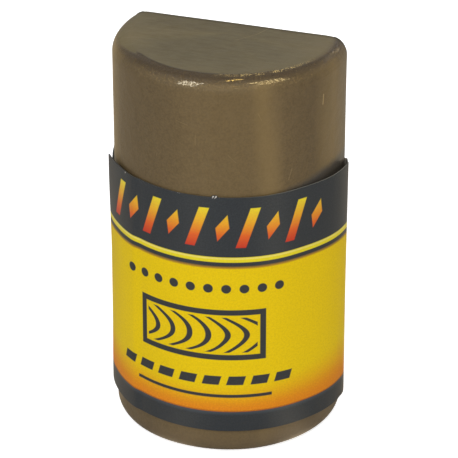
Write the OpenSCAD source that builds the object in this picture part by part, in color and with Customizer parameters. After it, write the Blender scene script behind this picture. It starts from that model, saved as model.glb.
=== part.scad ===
// Furniture repair wax stick: a cast block of soft wax in a loose paper band.
// The axis of the round front is the Z axis, the foot stands on Z = 0,
// the round front faces -Y and the flat back faces +Y.

/* [Wax stick] */
// Diameter of the round front
stick_d = 28.6; // [24:0.1:32]
// Height of the block, foot to top
stick_h = 50.8; // [42:0.1:80]
// Depth of the block, flat back to round front
stick_depth = 17.5; // [16.5:0.1:20]
// Radius of the rounded edge round the top face
top_edge_r = 2; // [0.5:0.1:3]
// Radius of the rounded edge round the foot
foot_edge_r = 1.6; // [0.5:0.1:3]

/* [Paper band] */
// Height of the band
band_h = 32.4; // [20:0.1:34]
// Height of the band's lower edge above the foot
band_z = 3.5; // [3.2:0.1:6]
// Thickness of the printed paper
paper_t = 0.15; // [0.1:0.01:0.3]
// Gap between the wax and the paper all round
band_gap = 0.2; // [0.15:0.01:0.5]
// How much further the paper bulges before it bends round the right corner
bulge_h = 0.6; // [0.2:0.05:0.8]
// Length of paper over which that bulge grows
bulge_l = 10; // [6:0.5:14]
// Distance along the paper from the bulge's crease to the right corner
crease_l = 3.1; // [1.5:0.1:5]

/* [Seam] */
// Direction of the band's outer end, seen from the axis, in degrees
seam_angle = 205; // [200:1:215]
// Length of the overlap along the paper
lap_l = 7.5; // [6.5:0.1:10]
// Length in which the paper climbs onto its own inner end
climb_l = 1.6; // [1:0.1:3]
// Width of the glue stripe
glue_w = 5; // [3:0.1:5.5]
// Thickness of the glue stripe
glue_t = 0.06; // [0.04:0.01:0.15]
// Distance of the glue stripe from the inner layer's end
glue_inset = 0.4; // [0.2:0.1:0.5]
// Distance of the glue stripe from the band's upper and lower edge
glue_margin = 1.5; // [0.5:0.1:4]
// How far the band's outer end lifts off the layer beneath it
lift_h = 0.15; // [0.1:0.05:0.5]

/* [Hidden] */
// Segments in a full turn of a round surface
turn_fn = 180;
// Angle between two folds of the paper on the round front, and on a corner
paper_step_angle = 2.5;
corner_step_angle = 12;
// How far a cut runs past the solid it cuts
overrun = 1;

stick_r = stick_d / 2;
back_y = stick_depth - stick_r;
// Where the round front meets the flat back
corner_angle = asin(back_y / stick_r);
corner_x = stick_r * cos(corner_angle);

// Inner radius of the band's inner layer, of the glue and of the outer layer
inner_layer_r = stick_r + band_gap;
glue_r = inner_layer_r + paper_t;
outer_layer_r = glue_r + glue_t;

// Directions of the seam's edges, seen from the axis
inner_end_angle = seam_angle + degrees_of(lap_l, outer_layer_r);
climb_end_angle = inner_end_angle + degrees_of(climb_l, outer_layer_r);
glue_to_angle = inner_end_angle - degrees_of(glue_inset, glue_r);
glue_from_angle = glue_to_angle - degrees_of(glue_w, glue_r);

// Directions between which the bulge grows to its crease, and the direction
// that the flat stretch from the crease to the right corner faces
crease_angle = 360 + corner_angle - degrees_of(crease_l, inner_layer_r);
bulge_from_angle = crease_angle - degrees_of(bulge_l, inner_layer_r);
from_crease = [corner_x, back_y] - polar(inner_layer_r + bulge_h, crease_angle);
facet_angle = atan2(from_crease.y, from_crease.x) - 90
    - asin(band_gap / norm(from_crease));

// Angle that an arc of this length spans at this radius
function degrees_of(length, radius) = length / radius * 180 / PI;

// Point at this radius and in this direction
function polar(radius, angle) = radius * [cos(angle), sin(angle)];

// Share of the way from one direction to another, from 0 to 1
function share_of(angle, from_angle, to_angle) =
    max(0, min(1, (angle - from_angle) / (to_angle - from_angle)));

// Directions from one to another in even steps no wider than the given one
function turns(from_angle, to_angle, step_angle) =
    let (count = ceil(abs(to_angle - from_angle) / step_angle))
    [for (i = [0:count]) from_angle + (to_angle - from_angle) * i / count];

// How far the paper lies outside its inner layer in this direction: the whole
// lap at the outer end, which also lifts as far as the glue, nothing past the
// climb, and the bulge before the right corner
function rise(angle) =
    (outer_layer_r - inner_layer_r)
        * (1 - share_of(angle, inner_end_angle, climb_end_angle))
    + lift_h * pow(1 - share_of(angle, seam_angle, glue_from_angle), 2)
    + bulge_h * (1 - cos(180 * share_of(angle, bulge_from_angle, crease_angle))) / 2;

// Directions of the paper's folds along the glue, the same in both layers
glue_turns = turns(glue_from_angle, glue_to_angle, paper_step_angle);

// One side of the paper strip, seen from above, at this distance outside its
// inner side: outer end, round front, right corner, left corner, inner end
function strip_side(outside) = concat(
    [for (a = concat(
            turns(seam_angle, glue_from_angle, paper_step_angle),
            glue_turns,
            turns(glue_to_angle, inner_end_angle, paper_step_angle),
            turns(inner_end_angle, climb_end_angle, paper_step_angle),
            turns(climb_end_angle, crease_angle, paper_step_angle)))
        polar(inner_layer_r + rise(a) + outside, a)],
    [for (a = turns(facet_angle, 90, corner_step_angle))
        [corner_x, back_y] + polar(band_gap + outside, a)],
    [for (a = turns(90, 180 - corner_angle, corner_step_angle))
        [-corner_x, back_y] + polar(band_gap + outside, a)],
    [for (a = concat(
            turns(180 - corner_angle, glue_from_angle, paper_step_angle),
            glue_turns,
            turns(glue_to_angle, inner_end_angle, paper_step_angle)))
        polar(inner_layer_r + outside, a)]
);

function reversed(points) = [for (i = [len(points) - 1:-1:0]) points[i]];

// The same points with each one that repeats the last one left out
function distinct(points) =
    [for (i = [0:len(points) - 1])
        if (i == 0 || norm(points[i] - points[max(0, i - 1)]) > 0) points[i]];

// Half section of the round block, with a rounded edge at each end
module block_section() {
    square([stick_r - top_edge_r, stick_h]);
    square([stick_r - foot_edge_r, stick_h - top_edge_r]);
    translate([0, foot_edge_r])
        square([stick_r, stick_h - top_edge_r - foot_edge_r]);
    translate([stick_r - top_edge_r, stick_h - top_edge_r])
        circle(top_edge_r, $fn = turn_fn);
    translate([stick_r - foot_edge_r, foot_edge_r])
        circle(foot_edge_r, $fn = turn_fn);
}

// The cast block: round, with everything behind the flat back cut away
module wax_stick() {
    color([0.41, 0.36, 0.27])
    difference() {
        rotate_extrude($fn = turn_fn)
            block_section();
        translate([-stick_r - overrun, back_y, -overrun])
            cube([stick_d + 2 * overrun, stick_r, stick_h + 2 * overrun]);
    }
}

// The paper strip, folded round the block and over its own inner end
module label_sleeve() {
    color([0.85, 0.74, 0.12])
    translate([0, 0, band_z])
        linear_extrude(band_h)
            polygon(distinct(concat(strip_side(0), reversed(strip_side(paper_t)))));
}

// The glue between the two layers of the overlap
module seam_glue() {
    color([0.93, 0.9, 0.82])
    translate([0, 0, band_z + glue_margin])
        linear_extrude(band_h - 2 * glue_margin)
            polygon(concat(
                [for (a = glue_turns) polar(glue_r, a)],
                reversed([for (a = glue_turns) polar(outer_layer_r, a)])
            ));
}

wax_stick();
label_sleeve();
seam_glue();
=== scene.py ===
from math import asin, atan2, cos, degrees, hypot, pi, radians, sin, sqrt

import bpy
import numpy as np
from mathutils import Matrix, Vector, noise


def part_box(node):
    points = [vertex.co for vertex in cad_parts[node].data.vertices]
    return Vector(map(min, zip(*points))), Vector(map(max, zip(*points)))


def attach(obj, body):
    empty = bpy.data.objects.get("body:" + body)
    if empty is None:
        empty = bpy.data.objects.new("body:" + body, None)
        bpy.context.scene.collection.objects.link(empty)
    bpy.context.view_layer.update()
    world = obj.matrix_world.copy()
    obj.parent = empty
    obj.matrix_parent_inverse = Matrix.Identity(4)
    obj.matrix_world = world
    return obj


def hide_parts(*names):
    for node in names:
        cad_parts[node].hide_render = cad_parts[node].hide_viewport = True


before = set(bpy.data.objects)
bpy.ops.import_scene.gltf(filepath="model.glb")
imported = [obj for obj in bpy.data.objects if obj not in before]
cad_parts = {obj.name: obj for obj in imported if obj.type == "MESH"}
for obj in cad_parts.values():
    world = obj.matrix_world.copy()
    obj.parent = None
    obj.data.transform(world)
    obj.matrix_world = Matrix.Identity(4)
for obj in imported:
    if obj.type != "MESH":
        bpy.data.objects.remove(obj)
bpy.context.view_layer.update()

# Camera: it looks down at the stick from a little right of its front, from
# far off through a long lens, so that the upright sides draw together only
# slightly towards the foot.
MM = 0.001
PHOTO_SIDE = 458
FOCAL_PIXELS = 3226
SENSOR_W = 36
CAMERA_TURN, CAMERA_RISE = 18.9, 26.59
CAMERA_DISTANCE = 402.7 * MM
AIM_RIGHT, AIM_UP = -0.11 * MM, -1.08 * MM


def direction(turn, rise):
    """The way out from the stick, this many degrees round from its front and up."""
    turn, rise = radians(turn), radians(rise)
    return Vector((sin(turn) * cos(rise), -cos(turn) * cos(rise), sin(rise)))


stick_low, stick_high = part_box("wax_stick")
camera_back = direction(CAMERA_TURN, CAMERA_RISE)
camera_right = direction(CAMERA_TURN + 90, 0)
camera_up = camera_back.cross(camera_right)
aim = Vector((0, 0, stick_high.z / 2)) + AIM_RIGHT * camera_right + AIM_UP * camera_up

camera_data = bpy.data.cameras.new("camera")
camera_data.sensor_width = SENSOR_W
camera_data.lens = SENSOR_W * FOCAL_PIXELS / PHOTO_SIDE
camera = bpy.data.objects.new("camera", camera_data)
camera.matrix_world = Matrix.Translation(aim + CAMERA_DISTANCE * camera_back) @ Matrix(
    (camera_right, camera_up, camera_back)).transposed().to_4x4()
bpy.context.scene.collection.objects.link(camera)
bpy.context.scene.camera = camera

# Wax stick: one block of soft brown filler wax, cast in an open mould. The
# mould rounds both ends, and the flat open back sinks a little as the wax
# cools. The soft surface takes fine dents, scratches and a satin shine.
stick_r = (stick_high.x - stick_low.x) / 2
stick_h = stick_high.z
back_y = stick_high.y
TOP_EDGE_R, FOOT_EDGE_R = 2.0 * MM, 1.6 * MM
CRISP_R = 0.13 * MM
FACE_MIDDLE_Y = -5 * MM
ROUND_STEPS, BACK_STEPS, CORNER_STEPS = 300, 60, 6
SIDE_RINGS, EDGE_RINGS = 110, 24
BROAD_RIPPLE_L, BROAD_RIPPLE_H = 9 * MM, 0.05 * MM
LONG_RIPPLE_L, LONG_RIPPLE_H = 3 * MM, 0.012 * MM
BACK_RIPPLE_L, BACK_RIPPLE_H = 5 * MM, 0.06 * MM
BACK_SINK, SINK_MARGIN = 0.22 * MM, 3 * MM
BROW_DROP, BROW_PAST_RIM = 0.07 * MM, 0.3 * MM
BROW_LEFT_W, BROW_RIGHT_W = 0.2 * MM, 1.1 * MM
FOOT_DRAFT = 0.32 * MM


def polar(radius, degree):
    return radius * cos(radians(degree)), radius * sin(radians(degree))


def spread(start, end, count):
    """Even steps from start to end, both ends included."""
    return [start + (end - start) * i / count for i in range(count + 1)]


def share(value, start, end):
    """How far a value has come on its way from start to end, from 0 to 1."""
    return max(0.0, min(1.0, (value - start) / (end - start)))


def block_outline(radius, back):
    """The block's D shape seen from above, anticlockwise from its left corner."""
    corner_y = back - CRISP_R
    corner_x = sqrt((radius - CRISP_R) ** 2 - corner_y ** 2)
    turn = degrees(atan2(corner_y, corner_x))
    points = [polar(radius, a) for a in spread(180 - turn, 360 + turn, ROUND_STEPS)]
    for a in spread(turn, 90, CORNER_STEPS)[1:]:
        x, y = polar(CRISP_R, a)
        points.append((corner_x + x, corner_y + y))
    points += [(x, back) for x in spread(corner_x, -corner_x, BACK_STEPS)[1:]]
    for a in spread(90, 180 - turn, CORNER_STEPS)[1:-1]:
        x, y = polar(CRISP_R, a)
        points.append((-corner_x + x, corner_y + y))
    return points


def edge_inset(depth, radius):
    """How far a rounded edge of this radius draws in at this depth below its face."""
    return radius - sqrt(radius ** 2 - max(0, radius - depth) ** 2)


def block_rings():
    """Height and outline of each ring of points, from the top face to the foot."""
    face_shares = spread(0.04, 0.84, 18) + spread(0.86, 0.99, 13)
    rings = []
    for z, edge_r in ((stick_h, TOP_EDGE_R), (0, FOOT_EDGE_R)):
        rim = block_outline(stick_r - edge_r, back_y - CRISP_R)
        face = [(z, [(x * k, FACE_MIDDLE_Y + (y - FACE_MIDDLE_Y) * k) for x, y in rim])
                for k in face_shares]
        depths = [edge_r * (1 - cos(radians(a))) for a in spread(0, 90, EDGE_RINGS)]
        edge = [(abs(z - d), block_outline(stick_r - edge_inset(d, edge_r),
                                           back_y - edge_inset(d, CRISP_R)))
                for d in depths]
        rings.append(face + edge)
    side = [(z, block_outline(stick_r, back_y))
            for z in spread(stick_h - TOP_EDGE_R, FOOT_EDGE_R, SIDE_RINGS)[1:-1]]
    return rings[0] + side + rings[1][::-1]


def skin_of(rings):
    """Vertices and faces of the closed skin over rings that have equally many points."""
    count = len(rings[0][1])
    verts = [(x, y, z) for z, outline in rings for x, y in outline]
    faces = []
    for row in range(len(rings) - 1):
        for i in range(count):
            j = (i + 1) % count
            a, b = row * count, (row + 1) * count
            faces.append((a + j, a + i, b + i, b + j))
    for row, turned in ((0, False), (len(rings) - 1, True)):
        rim = [row * count + i for i in range(count)]
        middle = len(verts)
        verts.append(tuple(np.mean([verts[i] for i in rim], axis=0)))
        for i, a in enumerate(rim):
            b = rim[(i + 1) % count]
            faces.append((b, a, middle) if turned else (a, b, middle))
    return verts, faces


def make_piece(name, verts, faces):
    mesh = bpy.data.meshes.new(name)
    mesh.from_pydata([tuple(v) for v in verts], [], faces)
    mesh.update()
    mesh.polygons.foreach_set("use_smooth", [True] * len(faces))
    piece = bpy.data.objects.new(name, mesh)
    bpy.context.scene.collection.objects.link(piece)
    return piece


def ripple(point, length, height, seed):
    """A smooth random height at a point, for waves about this length apart."""
    return height * noise.noise(Vector(point) / length + Vector((seed, 2 * seed, 3 * seed)))


def brow_drop(x, y):
    """How far the top face has sunk beside its rim, over a strip wider at the right."""
    rightness = share(degrees(atan2(x, -y)), -30, 60)
    width = BROW_LEFT_W + (BROW_RIGHT_W - BROW_LEFT_W) * rightness
    flat_r = stick_r - TOP_EDGE_R
    return BROW_DROP * share(hypot(x, y), flat_r - width, flat_r + BROW_PAST_RIM) ** 2


def unevenness(x, y, z, outward_y):
    """How far the cast surface stands out at a point: ripples, sunken back and brow."""
    lift = ripple((x, y, z), BROAD_RIPPLE_L, BROAD_RIPPLE_H, 1)
    lift += ripple((x, y, z / 3), LONG_RIPPLE_L, LONG_RIPPLE_H, 2)
    on_back = outward_y > 0.9
    if z > stick_h - TOP_EDGE_R and not on_back:
        lift -= brow_drop(x, y) * share(z, stick_h - TOP_EDGE_R, stick_h - TOP_EDGE_R / 2)
    if on_back:
        across = min(1, abs(x) / (stick_r - SINK_MARGIN / 2))
        along = min(1, z / SINK_MARGIN, (stick_h - z) / SINK_MARGIN)
        lift -= BACK_SINK * (1 - across ** 2) * along
        lift += ripple((x, y, z), BACK_RIPPLE_L, BACK_RIPPLE_H, 5)
    return lift


def drafted(x, z):
    """Where a point of the block lies after its right side draws in towards the foot."""
    return x - FOOT_DRAFT * share(x, 0, stick_r) * (1 - z / stick_h)


wax_piece = make_piece("wax_block", *skin_of(block_rings()))
normals = [n.vector.copy() for n in wax_piece.data.vertex_normals]
cast = [v.co + unevenness(*v.co, n.y) * n for v, n in zip(wax_piece.data.vertices, normals)]
for vert, place in zip(wax_piece.data.vertices, cast):
    vert.co = (drafted(place.x, place.z), place.y, max(place.z, 0))


def srgb(red, green, blue):
    """A colour as a screen shows it, 0 to 255, as the linear colour that nodes take."""
    shares = [c / 255 for c in (red, green, blue)]
    return (*[c / 12.92 if c <= 0.04045 else ((c + 0.055) / 1.055) ** 2.4
              for c in shares], 1)


class Wire:
    """What runs through a material's nodes: a number, colour or vector on one socket."""

    def __init__(self, tree, socket=None):
        self.tree = tree
        self.socket = socket

    def node(self, kind, settings=(), inputs=(), output=0):
        """Adds a node: its settings first, then the values or links of its sockets."""
        made = self.tree.nodes.new(kind)
        for name, value in dict(settings).items():
            if name == "stops":
                while len(made.color_ramp.elements) < len(value):
                    made.color_ramp.elements.new(1)
                for element, (place, colour) in zip(made.color_ramp.elements, value):
                    element.position, element.color = place, colour
            else:
                setattr(made, name, value)
        for key, value in dict(inputs).items():
            if isinstance(value, Wire):
                self.tree.links.new(value.socket, made.inputs[key])
            else:
                made.inputs[key].default_value = value
        return Wire(self.tree, made.outputs[output]) if made.outputs else None

    def maths(self, operation, *values, clamp=False):
        return self.node("ShaderNodeMath", {"operation": operation, "use_clamp": clamp},
                         dict(enumerate(values)))

    def vector_maths(self, operation, second=(0, 0, 0), output=0):
        return self.node("ShaderNodeVectorMath", {"operation": operation},
                         {0: self, 1: second}, output)

    def __add__(self, other):
        return self.maths("ADD", self, other)

    def __sub__(self, other):
        return self.maths("SUBTRACT", self, other)

    def __mul__(self, other):
        return self.maths("MULTIPLY", self, other)

    def __truediv__(self, other):
        return self.maths("DIVIDE", self, other)

    def __rsub__(self, other):
        return self.maths("SUBTRACT", other, self)

    def __pow__(self, other):
        return self.maths("POWER", self, other)

    __radd__ = __add__
    __rmul__ = __mul__

    def __abs__(self):
        return self.maths("ABSOLUTE", self)

    def floor(self):
        return self.maths("FLOOR", self)

    def larger(self, other):
        return self.maths("MAXIMUM", self, other)

    def smaller(self, other):
        return self.maths("MINIMUM", self, other)

    def clamped(self):
        return self.maths("ADD", self, 0.0, clamp=True)

    def above(self, limit, soft):
        """0 below the limit and 1 above it, with a soft border of this width."""
        return self.maths("ADD", (self - limit) / soft, 0.5, clamp=True)

    def eased(self):
        """A share from 0 to 1 that starts and ends gently."""
        return self * self * (3 - 2 * self)

    def part(self, name):
        """One of the three numbers of a vector, by its letter."""
        return self.node("ShaderNodeSeparateXYZ", {}, {0: self}, "XYZ".index(name))

    def scaled(self, x, y, z):
        return self.vector_maths("MULTIPLY", (x, y, z))

    def cloud(self, scale, detail=2.0, roughness=0.5):
        """Smooth random shade about 0.5 over this vector."""
        return self.node("ShaderNodeTexNoise", {},
                         {"Vector": self, "Scale": scale, "Detail": detail,
                          "Roughness": roughness})

    def mix(self, first, second):
        """This factor's mix of two colours."""
        return self.node("ShaderNodeMix", {"data_type": "RGBA"},
                         {0: self, 6: first, 7: second}, 2)


def new_material(name, **fixed):
    """A material's surface shader, its finish put on as fixed values."""
    material = bpy.data.materials.new(name)
    material.use_nodes = True
    shader = material.node_tree.nodes["Principled BSDF"]
    for key, value in fixed.items():
        shader.inputs[key].default_value = value
    return material, shader


def place_on(material):
    """The point on the surface, in millimetres, in the object's own frame."""
    start = Wire(material.node_tree)
    return start.node("ShaderNodeTexCoord", {}, {}, "Object").scaled(1 / MM, 1 / MM, 1 / MM)


def feed(material, shader, bump=(), **wires):
    """Links what changes over the surface to the shader, with bumps as (height, size in mm)."""
    tree = material.node_tree
    for key, wire in wires.items():
        tree.links.new(wire.socket, shader.inputs[key.replace("_", " ").title()])
    normal = None
    for height, size in bump:
        inputs = {"Height": height, "Strength": 1.0, "Distance": size * MM}
        if normal:
            inputs["Normal"] = normal
        normal = height.node("ShaderNodeBump", {}, inputs)
    if normal:
        tree.links.new(normal.socket, shader.inputs["Normal"])


SCRATCH_SOFT = 0.07


def stroke(at, start, end, width):
    """A scratch of this width from one place on the block to another, in millimetres."""
    run = Vector(end) - Vector(start)
    offset = at.vector_maths("SUBTRACT", tuple(start))
    along = offset.vector_maths("DOT_PRODUCT", tuple(run), "Value") / run.length_squared
    nearest = at.node("ShaderNodeVectorMath", {"operation": "SCALE"},
                      {0: tuple(run), "Scale": along.clamped()})
    gap = offset.vector_maths("DISTANCE", nearest, "Value")
    return (width / 2 - gap).above(0, SCRATCH_SOFT)


def on_round(degree, z):
    """A place on the round front in millimetres."""
    x, y = polar(stick_r, degree)
    return drafted(x, z * MM) / MM, y / MM, z


wax, wax_shader = new_material("soft_wax", **{
    "IOR": 1.42, "Specular Tint": srgb(255, 236, 200),
    "Coat Roughness": 0.08, "Coat IOR": 1.40})
at = place_on(wax)
across, depth, height = at.part("X"), at.part("Y"), at.part("Z")
facing = at.node("ShaderNodeTexCoord", {}, {}, "Normal")
backward, upward = facing.part("Y"), facing.part("Z")

# Degrees round the block from its front, to the right, wavering a little
turn = at.maths("ARCTAN2", across, -1 * depth) * (180 / pi)
turn = turn + 16 * (at.scaled(1, 1, 0.2).cloud(0.25, 1) - 0.5)

# Where the block's faces, edges and ends lie
left_end = (-1 * turn).above(58, 30)
right_end = turn.above(62, 30)
flat = upward.above(0.990, 0.014)
top_face = (upward + 0.30 * left_end + 0.04 * right_end).above(
    0.990, 0.014 + 0.20 * left_end + 0.07 * right_end)
rim = (1 - top_face) * upward.above(0.72, 0.34)
rounded = (1 - top_face) * upward.above(0.45, 0.5)
round_side = 1 - backward.above(0.93, 0.06)
sharp = depth.above(back_y / MM - 0.26, 0.16) * round_side
back_corner_shade = depth.above(back_y / MM - 0.55, 0.8) * round_side
front_side = 1 - backward.above(0.3, 0.3)

# Brown wax, its grain, its pale flecks and its dark pits
patches = at.scaled(1, 1, 0.5).cloud(0.12, 3)
grain = at.cloud(1.3, 4, 0.65)
fine = at.cloud(3.4, 3, 0.75)
wax_colour = patches.above(0.5, 0.5).mix(srgb(80, 67, 48), srgb(91, 77, 55))
wax_colour = grain.above(0.5, 0.6).mix(wax_colour, srgb(99, 85, 63))
wax_colour = (fine.above(0.56, 0.3) * 0.5).mix(wax_colour, srgb(110, 92, 61))
wax_colour = ((1 - fine).above(0.6, 0.3) * 0.22).mix(wax_colour, srgb(66, 54, 34))

# Painted sheen: pale golden upright bands that stand for reflections of the surroundings
# in the satin wax, broad ones at an even pitch, a narrow one at the right, and one along each end of
# the round front
BROAD_TURN, BROAD_PITCH = 16, 88
NARROW_TURN, NARROW_HALF = 38, 11
ENDS_MIDDLE, ENDS_TURN = 7, 73
sheen = 0.5 + 0.5 * at.maths("COSINE", (turn - BROAD_TURN) * (2 * pi / BROAD_PITCH))
sheen = 0.36 * sheen + 0.7 * (1 - abs(turn - NARROW_TURN) / NARROW_HALF).clamped().eased()
from_end = abs(abs(turn - ENDS_MIDDLE) - ENDS_TURN)
end_sheen = (1.1 - from_end / (14 + 8 * left_end)).clamped()
sheen = sheen + (1 + 1.3 * left_end) * end_sheen
sheen = sheen * (1 - sharp) * front_side
wax_colour = (0.32 * sheen).mix(wax_colour, srgb(150, 126, 78))

# The top face, dull and brushed, in a greener grey that is partly painted reflection,
# with painted light making it paler at the right and towards its rim
brushed = at.scaled(0.3, 1.3, 1).cloud(1.6, 4, 0.7)
top_colour_and_light = brushed.above(0.5, 0.4).mix(srgb(84, 78, 55), srgb(108, 101, 75))
top_colour_and_light = (0.5 * across.above(8, 8)).mix(top_colour_and_light, srgb(120, 110, 83))
from_axis = at.scaled(1, 1, 0).vector_maths("LENGTH", output="Value")
top_colour_and_light = (0.45 * from_axis.above(10.5, 3)).mix(top_colour_and_light, srgb(116, 107, 79))
wax_colour = (top_face * 0.8).mix(wax_colour, top_colour_and_light)

# Painted shade: a dark band under the rim, where the rounded edge faces the dark ceiling,
# and darker back corners and edges; then painted glints as pale flakes on the rounded edge
wax_colour = (rim * 0.85).mix(wax_colour, srgb(60, 50, 42))
wax_colour = (0.6 * back_corner_shade).mix(wax_colour, srgb(48, 40, 30))
wax_colour = (sharp * (0.3 + 1.1 * grain).clamped()).mix(wax_colour, srgb(34, 28, 20))
edge_glints = rounded * fine.above(0.64, 0.06) * (1 - rim * 0.5)
wax_colour = (edge_glints * 0.3).mix(wax_colour, srgb(190, 160, 100))

# Painted glints: golden specks along the crest between the top face and its rim
CREST_FROM_X, CREST_TO_X, CREST_SOFT = 3.2, 11.0, 2.5
specks = at.cloud(6.5, 2, 0.7)
flakes = at.cloud(4.6, 2, 0.7)
crest_glints = (1 - flat) * upward.above(0.965, 0.02) * across.above(CREST_FROM_X, CREST_SOFT)
crest_glints = crest_glints * (CREST_TO_X - across).above(0, CREST_SOFT) * grain.above(0.46, 0.12)
wax_colour = (crest_glints * specks.above(0.54, 0.06)).mix(wax_colour, srgb(250, 218, 140))

# The foot: painted reflection of the white floor, greyer low down and paler at the right
FLOOR_REFLECTION_H = 4.5
floor_reflection = 0.4 * (FLOOR_REFLECTION_H - height).above(1.5, 3)
wax_colour = floor_reflection.mix(wax_colour, srgb(86, 76, 64))
foot_floor_reflection = 0.9 * floor_reflection * turn.above(42, 30) * front_side
wax_colour = foot_floor_reflection.mix(wax_colour, srgb(108, 98, 86))

# Scratches: a bent one on the top face and a fine line on the front, with a painted
# glint as a short bright stroke on the front, as (degrees, height), then short ones
# at random on the front and back
SCRATCH_SEED = 4
top_z = stick_h / MM
BENT_START, BENT_MIDDLE, BENT_END = (4.1, 3.0, top_z), (3.2, 0.6, top_z), (1.4, -1.8, top_z)
BENT_START_W, BENT_END_W = 0.07, 0.06
GLINT_STROKE, GLINT_STROKE_W = ((340, 45.4), (340.4, 46.6)), 0.18
FINE_LINE, FINE_LINE_W = ((318.6, 37.0), (320.4, 38.4)), 0.07
FRONT_SCRATCHES, FRONT_TURNS, FRONT_HEIGHTS = 9, (200, 345), (37.5, 47)
FRONT_SLANT, FRONT_CLIMB, FRONT_SCRATCH_W = 6, 1.4, 0.05
BACK_SCRATCHES, BACK_PLACES, BACK_HEIGHTS = 7, (-11, 9), (4, 46)
BACK_RUN, BACK_CLIMB, BACK_SCRATCH_W = 3, 2.5, 0.3
dice = np.random.default_rng(SCRATCH_SEED)
scratches_and_glint = stroke(at, BENT_START, BENT_MIDDLE, BENT_START_W)
scratches_and_glint = scratches_and_glint.larger(stroke(at, BENT_MIDDLE, BENT_END, BENT_END_W))
# The painted glint: a short stroke twice as bright as a scratch
glint_start, glint_end = [on_round(*place) for place in GLINT_STROKE]
scratches_and_glint = scratches_and_glint.larger(2 * stroke(at, glint_start, glint_end, GLINT_STROKE_W))
line_start, line_end = [on_round(*place) for place in FINE_LINE]
scratches_and_glint = scratches_and_glint.larger(stroke(at, line_start, line_end, FINE_LINE_W))
for _ in range(FRONT_SCRATCHES):
    degree, z = dice.uniform(*FRONT_TURNS), dice.uniform(*FRONT_HEIGHTS)
    slant = dice.uniform(-FRONT_SLANT, FRONT_SLANT)
    climb = dice.uniform(-FRONT_CLIMB, FRONT_CLIMB)
    mark = stroke(at, on_round(degree, z), on_round(degree + slant, z + climb), FRONT_SCRATCH_W)
    scratches_and_glint = scratches_and_glint.larger(mark * 0.6)
for _ in range(BACK_SCRATCHES):
    x, z = dice.uniform(*BACK_PLACES), dice.uniform(*BACK_HEIGHTS)
    run, climb = dice.uniform(-BACK_RUN, BACK_RUN), dice.uniform(-BACK_CLIMB, BACK_CLIMB)
    mark = stroke(at, (x, back_y / MM, z), (x + run, back_y / MM, z + climb), BACK_SCRATCH_W)
    scratches_and_glint = scratches_and_glint.larger(mark * 0.5)
wax_colour = (scratches_and_glint * 0.5).clamped().mix(wax_colour, srgb(160, 138, 96))

# Painted shade on the wax at the right, above the paper's edge, where the paper stands off the block
GAP_SHADE_FOOT_Z, GAP_SHADE_TOP_Z = 34.2, 35.2
GAP_SHADE_TURN, GAP_SHADE_CLIMB, GAP_SHADE_FROM_X = 38, 1.6, 7.5
gap_shade_climb = GAP_SHADE_CLIMB * ((turn - GAP_SHADE_TURN) / GAP_SHADE_TURN).clamped()
gap_shade_top = GAP_SHADE_TOP_Z + gap_shade_climb + 0.9 * (at.cloud(0.5, 2) - 0.5)
gap_shade = (gap_shade_top - height).above(0, 1.0) * height.above(GAP_SHADE_FOOT_Z, 0.6)
gap_shade = gap_shade * across.above(GAP_SHADE_FROM_X, 2) * (1 - sharp) * round_side
wax_colour = (gap_shade * 0.85).mix(wax_colour, srgb(70, 70, 70))

scratch_lines = at.scaled(0.35, 0.35, 0.06).cloud(3.2, 5, 0.75)
feed(wax, wax_shader,
     Base_Color=wax_colour,
     Roughness=0.40 + 0.14 * grain + 0.10 * top_face,
     Coat_Weight=(0.12 + rounded * (0.05 + 0.95 * flakes.above(0.53, 0.07))) * (1 - back_corner_shade),
     bump=((fine, 0.035), (rounded * at.cloud(2.4, 4, 0.8), 0.28),
           (at.cloud(0.45, 2), 0.12), (scratch_lines, 0.02), (scratches_and_glint, -0.02)))
wax_piece.data.materials.append(wax)

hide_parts("wax_stick")
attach(wax_piece, "stick")

# Paper band: one strip of coated paper, printed on its outer side, wrapped
# loosely round the block and lapped over its own end at the left. It bulges
# at the right rear, its outer end has sprung up, and its upper edge is torn.
band_low, band_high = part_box("label_sleeve")
band_h = band_high.z - band_low.z
PAPER_T = 0.15 * MM
INNER_GAP, OUTER_GAP, CORNER_GAP = 0.07 * MM, 0.10 * MM, 0.13 * MM
LAP_RISE = PAPER_T + 0.06 * MM
BACK_BOW = 0.10 * MM
PAPER_WAVE, WAVE_TURN = 0.03 * MM, 30
FREE_END_TOP, FREE_END_FOOT = 207, 199
LIFT_FROM = 224
LIFT, LIFT_AT_TOP, LIFT_AT_FOOT = 0.05 * MM, 0.26 * MM, 0.08 * MM
TOP_LIFT_FROM, FOOT_LIFT_FROM = 0.55, 0.3
INNER_END, CLIMB_END = 234, 241
BULGE_FROM, BULGE_TO, CREASE, CREASE_FACING = 322, 356, 361, 18
BULGE_AT_FOOT, BULGE_GROWTH = 0.38 * MM, 0.36 * MM
FRONT_TILT, END_RISE, END_L = 0.4 * MM, 0.2 * MM, 4 * MM
CORNER_DIP, CORNER_DIP_L, BACK_RISE = 1.1 * MM, 1 * MM, 1.6 * MM
ASKEW, END_ASKEW = 0.3 * MM, 1.7 * MM
TORN_AT, TORN_H, TORN_HALF, TORN_LEAN = (2.72 * MM, 3.06 * MM), 0.38 * MM, 0.2 * MM, 0.4

# Columns of points along the strip: on the round front, from the crease to the
# right corner, round each corner, over the back, and on to the inner end
FRONT_COLUMNS, FACET_COLUMNS, CORNER_COLUMNS = 220, 14, 8
BACK_COLUMNS, INNER_COLUMNS = 70, 90
BAND_ROWS = 64
crease_at = FRONT_COLUMNS
corner_at = crease_at + FACET_COLUMNS
left_corner_at = corner_at + BACK_COLUMNS + 2 * CORNER_COLUMNS
ASKEW_FROM, ASKEW_TO = crease_at - 80, left_corner_at + 51
CREASE_SOFT_COLUMNS, CREASE_SOFT_TIMES = (crease_at - 20, crease_at + 12), 12

corner_turn = degrees(asin(back_y / stick_r))
corner_x = sqrt(stick_r ** 2 - back_y ** 2)


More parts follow.
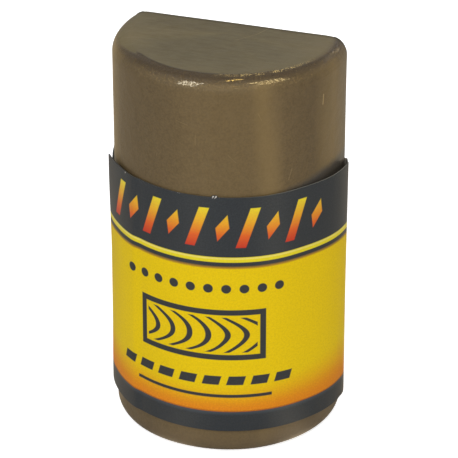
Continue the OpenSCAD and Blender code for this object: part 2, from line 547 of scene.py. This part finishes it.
def eased_share(value, start, end):
    s = share(value, start, end)
    return s * s * (3 - 2 * s)


def free_end(v):
    """Where the outer end lies, in degrees, at this share of the band's height."""
    return FREE_END_FOOT + (FREE_END_TOP - FREE_END_FOOT) * v


def outer_gap(degree, v):
    """Gap between wax and paper where the strip's outer end goes round the front."""
    lap = LAP_RISE * (1 - eased_share(degree, INNER_END, CLIMB_END))
    lift = LIFT + LIFT_AT_TOP * eased_share(v, TOP_LIFT_FROM, 1)
    lift += LIFT_AT_FOOT * eased_share(v, FOOT_LIFT_FROM, 0)
    lift *= (1 - share(degree, free_end(v), LIFT_FROM)) ** 2
    bulge = (BULGE_AT_FOOT + BULGE_GROWTH * v) * eased_share(degree, BULGE_FROM, BULGE_TO)
    wave = ripple((degree / WAVE_TURN, v, 0), 1, PAPER_WAVE, 7)
    return OUTER_GAP + lap + lift + bulge + wave


def edge_rise(along, crease_l, corner_l, end_l):
    """How far the band stands above level at this distance along it, or below if negative."""
    tilt = -FRONT_TILT * share(along, 0, crease_l) + END_RISE * share(along, 0, END_L)
    dip = -CORNER_DIP * eased_share(along, crease_l - CORNER_DIP_L, corner_l)
    return tilt + dip + BACK_RISE * share(along, corner_l, end_l)


def round_corner(x, start, end):
    """The paper's folds round a rear corner of the block, between two directions."""
    return [(x + dx, back_y + dy)
            for dx, dy in (polar(CORNER_GAP, a) for a in spread(start, end, CORNER_COLUMNS))]


def strip_row(v):
    """Points of the paper's inner side at one height, from the outer end to the inner."""
    points = [polar(stick_r + outer_gap(a, v), a)
              for a in spread(free_end(v), CREASE, FRONT_COLUMNS)]
    crease = points[-1]
    right_corner = round_corner(corner_x, CREASE_FACING, 90)
    points += [tuple(a + (b - a) * t for a, b in zip(crease, right_corner[0]))
               for t in spread(0, 1, FACET_COLUMNS)[1:]]
    points += right_corner[1:]
    back = spread(corner_x, -corner_x, BACK_COLUMNS)
    points += [(x, back_y + CORNER_GAP + BACK_BOW * sin(pi * t))
               for t, x in zip(spread(0, 1, BACK_COLUMNS), back)][1:]
    points += round_corner(-corner_x, 90, 180 - corner_turn)[1:]
    points += [polar(stick_r + INNER_GAP, a)
               for a in spread(180 - corner_turn, INNER_END, INNER_COLUMNS)[1:]]
    return points


def smooth_path(points, start, end, times):
    """The same path with its points from start to end drawn towards their neighbours."""
    path = np.array(points)
    for _ in range(times):
        middle = (path[start - 1:end - 1] + path[start + 1:end + 1]) / 2
        path[start:end] = (path[start:end] + middle) / 2
    return path


def outward(path):
    """Unit normals of a path that runs anticlockwise, pointing away from the block."""
    run = np.gradient(path, axis=0)
    run /= np.linalg.norm(run, axis=1)[:, None]
    return np.stack([run[:, 1], -run[:, 0]], axis=1)


def torn_tip(along):
    """How far a torn tip stands up from the paper's upper edge at this place."""
    return TORN_H * max(share(abs(along - middle), TORN_HALF, 0) for middle in TORN_AT)


def strip_mesh():
    """Points of the paper's bare and printed sides, and their places on the strip in mm."""
    inner, outer, places = [], [], []
    for v in spread(0, 1, BAND_ROWS):
        path = smooth_path(strip_row(v), *CREASE_SOFT_COLUMNS, CREASE_SOFT_TIMES)
        steps = np.linalg.norm(np.diff(path, axis=0), axis=1)
        along = np.concatenate([[0], np.cumsum(steps)])
        zero = np.interp(0, path[:crease_at, 0], along[:crease_at])
        for p, n, s in zip(path, outward(path), along):
            z = band_low.z + band_h * v
            z += edge_rise(s, along[crease_at], along[corner_at], along[-1])
            z -= ASKEW * v * (1 - share(s, along[ASKEW_FROM], along[crease_at]))
            z -= END_ASKEW * v * share(s, along[left_corner_at], along[ASKEW_TO])
            if v == 1:
                tip = torn_tip(s - zero)
                z += tip
                p = p + tip * TORN_LEAN * np.array((-n[1], n[0]))
            inner.append((*p, z))
            outer.append((*(p + n * PAPER_T), z))
            places.append(((s - zero) / MM, band_h * v / MM))
    return inner, outer, places


def strip_faces(columns, rows):
    """Faces of the strip: printed side, bare side, and its cut edges all round."""
    count = columns * (rows + 1)
    printed_side, bare_side = [], []
    for r in range(rows):
        for c in range(columns - 1):
            a = r * columns + c
            b = a + columns
            printed_side.append((count + a, count + a + 1, count + b + 1, count + b))
            bare_side.append((a + 1, a, b, b + 1))
    edges = []
    top = rows * columns
    for c in range(columns - 1):
        edges.append((c, c + 1, count + c + 1, count + c))
        edges.append((top + c + 1, top + c, count + top + c, count + top + c + 1))
    for r in range(rows):
        a, b = r * columns, (r + 1) * columns
        edges.append((b, a, count + a, count + b))
        a, b = a + columns - 1, b + columns - 1
        edges.append((a, b, count + b, count + a))
    return printed_side, bare_side, edges


def mark_rim(mesh, columns, rows):
    """Keeps the shading of the paper's sides apart from that of its cut edges."""
    count = columns * (rows + 1)
    for edge in mesh.edges:
        ends = [divmod(i % count, columns) for i in edge.vertices]
        one_side = len({i // count for i in edge.vertices}) == 1
        along_rim = any({e[k] for e in ends} in ({0}, {last})
                        for k, last in ((0, rows), (1, columns - 1)))
        edge.use_edge_sharp = one_side and along_rim


bare_points, printed_points, strip_places = strip_mesh()
band_columns = len(bare_points) // (BAND_ROWS + 1)
printed_faces, bare_faces, edge_faces = strip_faces(band_columns, BAND_ROWS)
band_piece = make_piece("paper_band", bare_points + printed_points,
                        printed_faces + bare_faces + edge_faces)
mark_rim(band_piece.data, band_columns, BAND_ROWS)
strip_map = band_piece.data.uv_layers.new(name="strip")
for loop in band_piece.data.loops:
    strip_map.data[loop.index].uv = strip_places[loop.vertex_index % len(strip_places)]
BARE_SLOT, CUT_SLOT = 1, 2
for face in band_piece.data.polygons[len(printed_faces):]:
    face.material_index = BARE_SLOT
for face in band_piece.data.polygons[-len(edge_faces):]:
    face.use_smooth = False
    face.material_index = CUT_SLOT if abs(face.normal.z) > 0.5 else BARE_SLOT

printed, printed_shader = new_material("printed_paper", **{
    "Specular IOR Level": 0.07, "Coat Roughness": 0.38})
at = Wire(printed.node_tree).node("ShaderNodeUVMap", {"uv_map": "strip"})
u, v = at.part("X"), at.part("Y")
soft = 0.09


def between(wire, low, high):
    """1 between two limits and 0 outside them, with softly printed borders."""
    return wire.above(low, soft) * (1 - wire.above(high, soft))


def row_of(wire, pitch):
    """Number of the copy in a row with this pitch, and the distance from its middle."""
    cells = wire / pitch
    number = cells.floor()
    return number, (cells - number - 0.5) * pitch


# The yellow panel, which fades to orange above the foot and higher at the
# sides, with a dark halo along its upper edge
PANEL_FOOT, PANEL_TOP, PANEL_TOP_SOFT = 2.75, 23.0, 0.45
FADE_MIDDLE, FADE_PITCH, FADE_HALF = 1.5, 39, 15
FADE_H, FADE_SIDE_H = 4.0, 1.7
_, side = row_of(u - FADE_MIDDLE + FADE_PITCH / 2, FADE_PITCH)
side = side / FADE_HALF
fade_h = FADE_H + FADE_SIDE_H * (side * side)
fade = ((v - PANEL_FOOT) / fade_h + 0.10 * (at.cloud(0.35, 3) - 0.5)).clamped().eased()
panel = fade.mix(srgb(222, 128, 25), srgb(230, 197, 7))
panel = v.above(PANEL_FOOT + 0.16, 0.2).mix(srgb(176, 92, 34), panel)
panel = (0.55 * v.above(PANEL_TOP - 0.22, 0.2)).mix(panel, srgb(196, 112, 26))
in_panel = v.above(PANEL_FOOT, soft) * (1 - v.above(PANEL_TOP - 0.05, PANEL_TOP_SOFT))

# The black ground, paler just below the panel, and the yellow line with its
# pale streak
LINE_FOOT, LINE_TOP = 23.65, 24.35
STREAK_FOOT, STREAK_TOP = LINE_FOOT + 0.42, LINE_TOP - 0.08
foot_rim = v.above(PANEL_FOOT - 0.35, 0.4) * (1 - v.above(PANEL_FOOT, soft))
colour = (0.35 * foot_rim).mix(srgb(40, 46, 53), srgb(84, 93, 106))
colour = in_panel.mix(colour, panel)
streak = v.above(STREAK_FOOT, 0.12) * (1 - v.above(STREAK_TOP, 0.1))
line_colour = (streak * 0.5).mix(srgb(232, 214, 20), srgb(236, 226, 150))
colour = between(v, LINE_FOOT, LINE_TOP).mix(colour, line_colour)

# Slanted bars and lozenges by turns, red at the foot and yellow at the top,
# one row of them on the front and one on the back
MOTIF_MIDDLE, MOTIF_HALF, MOTIF_PITCH = 28.3, 2.65, 3.1
MOTIF_SHIFT, MOTIF_SLANT = 0.8, 0.34
BAR_HALF, LOZENGE_HALF = 0.62, 0.75
FRONT_MIDDLE_CELL, FRONT_CELLS_HALF = 0.5, 5.1
BACK_MIDDLE_CELL, BACK_CELLS_HALF = 12.5, 3.6
up = v - MOTIF_MIDDLE
cell, beside = row_of(u - MOTIF_SLANT * up + MOTIF_SHIFT, MOTIF_PITCH)
odd = cell - 2 * (cell / 2).floor()
bar = (BAR_HALF - abs(beside)).smaller(MOTIF_HALF - abs(up))
lozenge = LOZENGE_HALF - abs(beside) * 0.9 - abs(up) * 0.42
motif = (odd * lozenge + (1 - odd) * bar).above(0, soft)
front_cells = (FRONT_CELLS_HALF - abs(cell - FRONT_MIDDLE_CELL)).above(0, 0.1)
back_cells = (BACK_CELLS_HALF - abs(cell - BACK_MIDDLE_CELL)).above(0, 0.1)
motif_height = up / (2 * MOTIF_HALF) + 0.5
fire = motif_height.node(
    "ShaderNodeValToRGB",
    {"stops": ((0.0, srgb(196, 44, 22)), (0.3, srgb(222, 96, 24)),
               (0.62, srgb(232, 164, 28)), (1.0, srgb(232, 212, 36)))},
    {0: motif_height})
colour = (motif * front_cells.larger(back_cells)).mix(colour, fire)

# The figure on the panel: a framed plank end with its growth rings, a row of
# dots above it, and a row of slanted dashes and a rule below it
FIGURE_U, FIGURE_V = 1.0, 13.6
PLANK_HALF_W, PLANK_HALF_H, FRAME_W, FRAME_GAP = 8.2, 3.5, 0.75, 0.3
RING_PITCH, RING_HALF, RING_BEND = 2.3, 0.36, 0.42
DOT_V, DOT_PITCH, DOT_R, DOTS_HALF = 20.0, 2.2, 0.6, 4.6
DASH_V, DASH_PITCH, DASH_SLANT, DASHES_HALF = 7.2, 3.0, 0.3, 3.6
DASH_HALF_W, DASH_HALF_H = 1.05, 0.62
RULE_V, RULE_HALF_W, RULE_HALF_H = 5.0, 9.0, 0.22
fx, fy = u - FIGURE_U, v - FIGURE_V
plank = (abs(fx) - PLANK_HALF_W).larger(abs(fy) - PLANK_HALF_H)
wobble = 0.9 * (at.scaled(0.25, 0.5, 1).cloud(0.7, 0) - 0.5)
_, ring = row_of(fx + RING_BEND * (fy * fy) + wobble, RING_PITCH)
rings = (RING_HALF - abs(ring)).above(0, soft)
rings = rings * (1 - plank.above(-FRAME_W - FRAME_GAP, soft))
number, dot_x = row_of(fx, DOT_PITCH)
dot_y = v - DOT_V
dot = (DOT_R - (dot_x * dot_x + dot_y * dot_y) ** 0.5).above(0, soft)
dot = dot * (DOTS_HALF - abs(number + 0.5)).above(0, 0.05)
number, dash_x = row_of(fx - DASH_SLANT * (v - DASH_V), DASH_PITCH)
dash = (DASH_HALF_W - abs(dash_x)).smaller(DASH_HALF_H - abs(v - DASH_V)).above(0, soft)
dash = dash * (DASHES_HALF - abs(number + 0.5)).above(0, 0.05)
rule = (RULE_HALF_H - abs(v - RULE_V)).above(0, soft) * (RULE_HALF_W - abs(fx)).above(0, soft)
ink = between(plank, -FRAME_W, 0).larger(rings).larger(dot).larger(dash).larger(rule)

# On the back, a framed card in the wax's own brown beside five plain rules
BACK_U = 40.5
CARD_SHIFT, CARD_HALF_W, CARD_HALF_H = 5.4, 4.4, 5.2
CARD_FRAME_W, CARD_GAP = 0.35, 0.35
BACK_RULE_FROM, BACK_RULE_HALF_H = 0.8, 0.32
BACK_RULES = ((18.0, 9.6), (15.8, 7.2), (13.6, 8.8), (11.4, 6.0), (9.2, 9.0))
back_x = u - BACK_U
card = (abs(back_x + CARD_SHIFT) - CARD_HALF_W).larger(abs(v - FIGURE_V) - CARD_HALF_H)
ink = ink.larger(between(card, -CARD_FRAME_W, 0))
for rule_v, rule_end in BACK_RULES:
    rule = (BACK_RULE_HALF_H - abs(v - rule_v)).smaller(back_x - BACK_RULE_FROM)
    ink = ink.larger(rule.smaller(rule_end - back_x).above(0, soft))
colour = ink.mix(colour, srgb(56, 57, 59))
on_card = 1 - card.above(-CARD_FRAME_W - CARD_GAP, soft)
colour = on_card.mix(colour, srgb(98, 78, 48))

# Worn print along the paper's edges, and white fibres at its torn tips and at
# one small nick
NICK_U, NICK_DROP, NICK_R, TORN_R = -10.2, 0.08, 0.15, 0.22
band_top = band_h / MM
worn = (v - band_top + 0.9 * (at.cloud(1.6, 3, 0.7) - 0.66)).above(0, 0.05)
worn = worn.larger((0.9 * (at.cloud(1.5, 3, 0.7) - 0.70) - v).above(0, 0.05))
fibres_at = [(middle / MM, 0, TORN_R) for middle in TORN_AT] + [(NICK_U, NICK_DROP, NICK_R)]
for nick_u, nick_drop, nick_r in fibres_at:
    nick_x, nick_y = u - nick_u, v - (band_top - nick_drop)
    slanted = 2.2 * (nick_x - 0.5 * nick_y)
    ragged = nick_r + 0.5 * (at.cloud(2.3, 3, 0.7) - 0.5)
    nick = (ragged - (slanted * slanted + nick_y * nick_y) ** 0.5).above(0, 0.1)
    worn = worn.larger(nick)
colour = worn.mix(colour, srgb(196, 192, 184))

# The grain of the print: specks in the yellow and in the black
fleck = at.cloud(9.0, 3, 0.6)
screen_dots = at.cloud(4.2, 2, 0.7)
on_yellow = in_panel * (1 - ink) * card.above(0, soft)
colour = (0.35 * (fleck - 0.5).clamped()).mix(colour, srgb(120, 110, 80))
dark_dots = 0.22 * on_yellow * screen_dots.above(0.6, 0.3)
colour = dark_dots.mix(colour, srgb(160, 132, 60))
pale_dots = 0.14 * on_yellow * (1 - screen_dots).above(0.6, 0.3)
colour = pale_dots.mix(colour, srgb(250, 226, 70))
grey_dots = 0.12 * (1 - on_yellow) * screen_dots.above(0.55, 0.3)
colour = grey_dots.mix(colour, srgb(84, 90, 96))
feed(printed, printed_shader,
     Base_Color=colour,
     Roughness=0.42 + 0.12 * fleck,
     Coat_Weight=0.45 * (1 - in_panel),
     bump=((at.cloud(3.0, 3), 0.012), (at.scaled(1, 0.25, 1).cloud(0.25, 2), 0.10)))

# The unprinted side, and the cut edges, where ink has bled into the paper
bare, bare_shader = new_material("bare_paper", Roughness=0.85)
at = place_on(bare)
fibres = at.cloud(4.0, 4, 0.7)
feed(bare, bare_shader,
     Base_Color=fibres.above(0.5, 0.7).mix(srgb(150, 146, 136), srgb(178, 173, 162)),
     bump=((fibres, 0.02),))
cut, cut_shader = new_material("cut_edge", Roughness=0.8)
at = place_on(cut)
inky = at.part("X").above(8, 5).mix(srgb(56, 58, 58), srgb(98, 100, 98))
feed(cut, cut_shader,
     Base_Color=at.cloud(1.1, 4, 0.7).above(0.75, 0.2).mix(inky, srgb(140, 136, 128)),
     bump=((at.cloud(6.0, 2), 0.01),))
for material in (printed, bare, cut):
    band_piece.data.materials.append(material)
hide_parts("label_sleeve")
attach(band_piece, "band")

# Seam glue: a thin stripe of paper glue, dried clear and a little yellow. It
# is brushed on the strip's inner end, and its edges wander.
GLUE_MARGIN, GLUE_GAP, GLUE_T = 1.5 * MM, 0.01 * MM, 0.045 * MM
GLUE_FROM, GLUE_FROM_WAVE = LIFT_FROM - 10, 1.2
GLUE_TO, GLUE_TO_WAVE = INNER_END - 1.5, 0.5
GLUE_ROWS, GLUE_COLUMNS = 60, 24


def glue_points():
    """Points of the stripe's inner side and outer side, row by row from the foot."""
    inner_r = stick_r + INNER_GAP + PAPER_T + GLUE_GAP
    points = []
    for radius in (inner_r, inner_r + GLUE_T):
        for t in spread(0, 1, GLUE_ROWS):
            z = band_low.z + GLUE_MARGIN + (band_h - 2 * GLUE_MARGIN) * t
            first = GLUE_FROM + GLUE_FROM_WAVE * noise.noise(Vector((t * 9, 0, 0)))
            last = GLUE_TO + GLUE_TO_WAVE * noise.noise(Vector((t * 11, 4, 0)))
            points += [(*polar(radius, a), z) for a in spread(first, last, GLUE_COLUMNS)]
    return points


glue_piece = make_piece("glue_stripe", glue_points(),
                        sum(strip_faces(GLUE_COLUMNS + 1, GLUE_ROWS), []))
glue, glue_shader = new_material("dried_glue")
at = place_on(glue)
feed(glue, glue_shader,
     Base_Color=at.cloud(0.8, 3).mix(srgb(214, 205, 170), srgb(236, 230, 208)),
     Roughness=0.15 + 0.2 * at.cloud(2.0, 2),
     bump=((at.cloud(1.2, 3), 0.02),))
glue_piece.data.materials.append(glue)
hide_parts("seam_glue")
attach(glue_piece, "band")

# Studio: a white sweep under soft light from all round, with wedges of the floor beside
# the stick that glow only in reflections, and small lamps whose glints show on its rounded rim.
SWEEP_HALF = 3
GLOW_WEDGES = ((58, 18, 1.3), (143, 22, 0.2), (-12, 22, 0.7))


def white_sweep():
    """The floor: white to the camera, warmer in reflections, where wedges beside the stick glow."""
    material = bpy.data.materials.new("white_sweep")
    material.use_nodes = True
    material.node_tree.nodes.clear()
    start = Wire(material.node_tree)
    seen = start.node("ShaderNodeLightPath", {}, {}, "Is Camera Ray")
    mirrored = start.node("ShaderNodeLightPath", {}, {}, "Is Glossy Ray")
    place = start.node("ShaderNodeTexCoord", {}, {}, "Object")
    round_stick = start.maths("ARCTAN2", place.part("X"), -1 * place.part("Y")) * (180 / pi)
    glow_wedges = sum((1 - abs(round_stick - middle) / half).clamped().eased() * power
                for middle, half, power in GLOW_WEDGES)
    shade = mirrored.mix((0.82, 0.82, 0.82, 1), (0.72, 0.64, 0.51, 1))
    lit = start.node("ShaderNodeBsdfDiffuse", {}, {"Color": shade})
    tone = seen.mix((1.0, 0.86, 0.62, 1), (1, 1, 1, 1))
    glow = start.node("ShaderNodeEmission", {},
                      {"Color": tone, "Strength": seen * 0.75 + mirrored * glow_wedges})
    both = start.node("ShaderNodeAddShader", {}, {0: lit, 1: glow})
    start.node("ShaderNodeOutputMaterial", {}, {"Surface": both})
    return material


def white_room():
    """The world: white to the camera, with a dark ceiling and dark wings for the wax."""
    room = bpy.data.worlds.new("world")
    room.use_nodes = True
    room.node_tree.nodes.clear()
    start = Wire(room.node_tree)
    seen = start.node("ShaderNodeLightPath", {}, {}, "Is Camera Ray")
    mirrored = start.node("ShaderNodeLightPath", {}, {}, "Is Glossy Ray")
    way = start.node("ShaderNodeTexCoord", {}, {}, "Generated")
    aside, behind, high = abs(way.part("X")), way.part("Y"), way.part("Z")
    dark_ceiling = high.above(0.58, 0.24) * behind.above(0.0, 0.3)
    dark_wings = aside.above(0.72, 0.3) * (1 - high.above(0.72, 0.3))
    dark_behind = behind.above(0.35, 0.5) * (1 - high.above(0.40, 0.3))
    level = 0.88 - 0.70 * dark_ceiling - 0.52 * dark_wings
    level = (level * (1 - 0.55 * mirrored * dark_behind)).larger(0.05)
    tone = aside.above(0.65, 0.5).mix((0.97, 0.98, 1.0, 1), (1.0, 0.93, 0.80, 1))
    light = start.node("ShaderNodeBackground", {}, {"Color": tone, "Strength": level})
    white = start.node("ShaderNodeBackground", {}, {"Color": (1, 1, 1, 1), "Strength": 1.0})
    both = start.node("ShaderNodeMixShader", {}, {0: seen, 1: light, 2: white})
    start.node("ShaderNodeOutputWorld", {}, {"Surface": both})
    return room


def soft_box(name, turn, rise, distance, size, power, colour=(1, 1, 1), glint=False):
    """A lamp that faces the stick: it lights the surfaces, or only shows as a glint."""
    back = direction(turn, rise)
    lamp = bpy.data.lights.new(name, "AREA")
    lamp.shape = "RECTANGLE"
    lamp.size, lamp.size_y = size
    lamp.energy, lamp.color = power, colour
    holder = bpy.data.objects.new(name, lamp)
    middle = Vector((0, 0, stick_h / 2))
    holder.matrix_world = Matrix.Translation(middle + distance * back) @ (
        back.to_track_quat("Z", "Y").to_matrix().to_4x4())
    holder.visible_camera = False
    holder.visible_diffuse, holder.visible_glossy = not glint, glint
    bpy.context.scene.collection.objects.link(holder)


sweep_corners = [(x * SWEEP_HALF, y * SWEEP_HALF, 0) for x, y in ((-1, -1), (1, -1), (1, 1), (-1, 1))]
floor = make_piece("floor", sweep_corners, [(0, 1, 2, 3)])
floor.data.materials.append(white_sweep())
bpy.context.scene.world = white_room()

soft_box("front_key", 4, 42, 0.8, (0.6, 0.5), 2.0)
soft_box("rear_fill", 190, 22, 0.7, (0.6, 0.4), 0.9)
soft_box("right_fill", 58, 14, 0.6, (0.05, 0.5), 0.4, (1, 0.9, 0.75))
soft_box("left_glint", -28, 44, 0.6, (0.16, 0.26), 3.2, (1, 0.9, 0.68), glint=True)
soft_box("top_glint", 90, 88, 0.6, (0.17, 0.045), 0.7, (1, 0.64, 0.15), glint=True)
soft_box("right_glint", 71, 52, 0.6, (0.27, 0.24), 3.4, (1, 0.76, 0.34), glint=True)
soft_box("rear_glint", 158, 24, 0.6, (0.09, 0.18), 0.09, (1, 0.74, 0.36), glint=True)

bpy.context.scene.view_settings.view_transform = "Standard"
